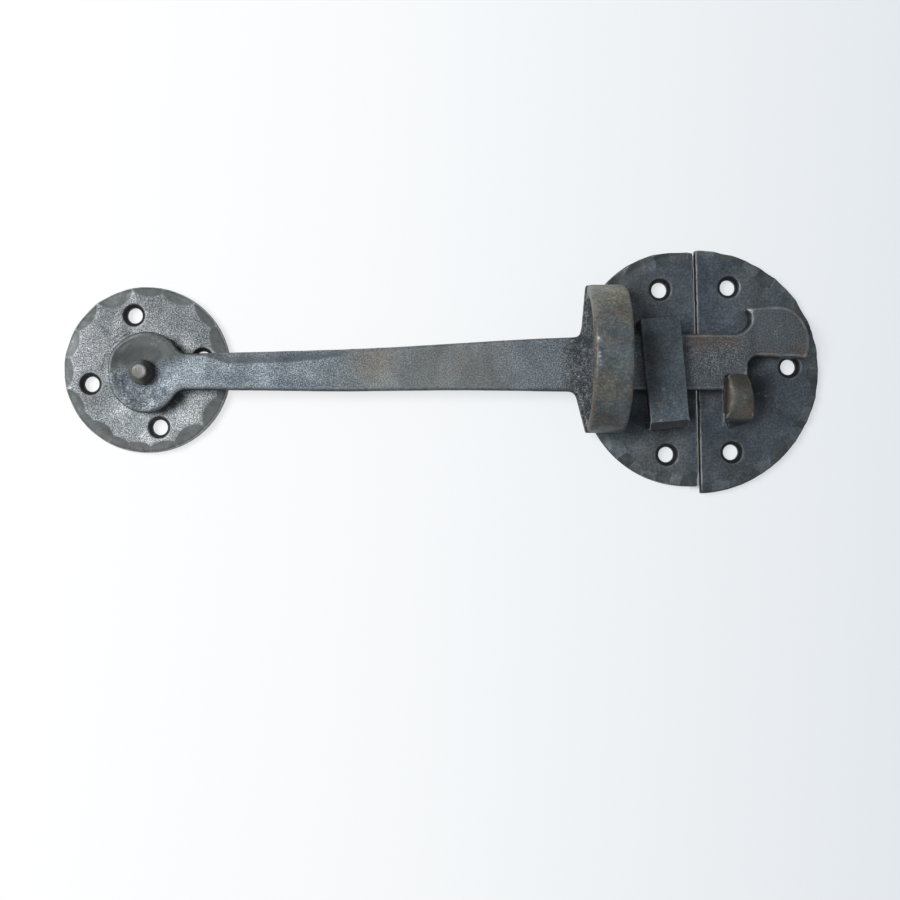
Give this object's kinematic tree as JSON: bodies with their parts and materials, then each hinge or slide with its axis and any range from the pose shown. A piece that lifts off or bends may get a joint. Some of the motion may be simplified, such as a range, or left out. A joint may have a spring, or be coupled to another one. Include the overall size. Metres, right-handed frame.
{
  "type": "cabinet latch",
  "caption": "Forged iron cabinet latch: pivoting arm with a pull loop and thumb lift, round pivot plate, staple guide and a curled hook on a split round plate.",
  "frame": {"origin": "middle of the pivot plate's four screw holes, on the back plane of the plates", "axes": "+X along the arm from the pivot to the keeper hook, +Y the way the arm lifts out of the hook, +Z out of the cabinet face; the latch lies on its back"},
  "size_m": [0.2344, 0.0756, 0.0292],
  "materials": {
    "pivot_plate": "hammered, blackened",
    "pivot_rivet": "peened, worn bright on the end",
    "latch_arm": "forge scale, pitted",
    "pull_loop": "smooth brown patina",
    "guide_plate": "hammered, blackened",
    "guide_staple": "forged, blackened",
    "keeper_plate": "hammered, blackened, worn brown on the hook"
  },
  "bodies": {
    "plates": {"pivot_plate": "pivot_plate", "pivot_rivet": "pivot_rivet", "guide_plate": "guide_plate", "guide_staple": "guide_staple", "keeper_plate": "keeper_plate"},
    "arm": {"latch_arm": "latch_arm", "pull_loop": "pull_loop"}
  },
  "joints": [
    {"name": "arm_pivot", "type": "hinge", "parent": "plates", "child": "arm", "pos_m": [0, -0.0006, 0.0057], "axis": [0, 0, 1], "range_deg": [-2.6, 0.45]}
  ]
}
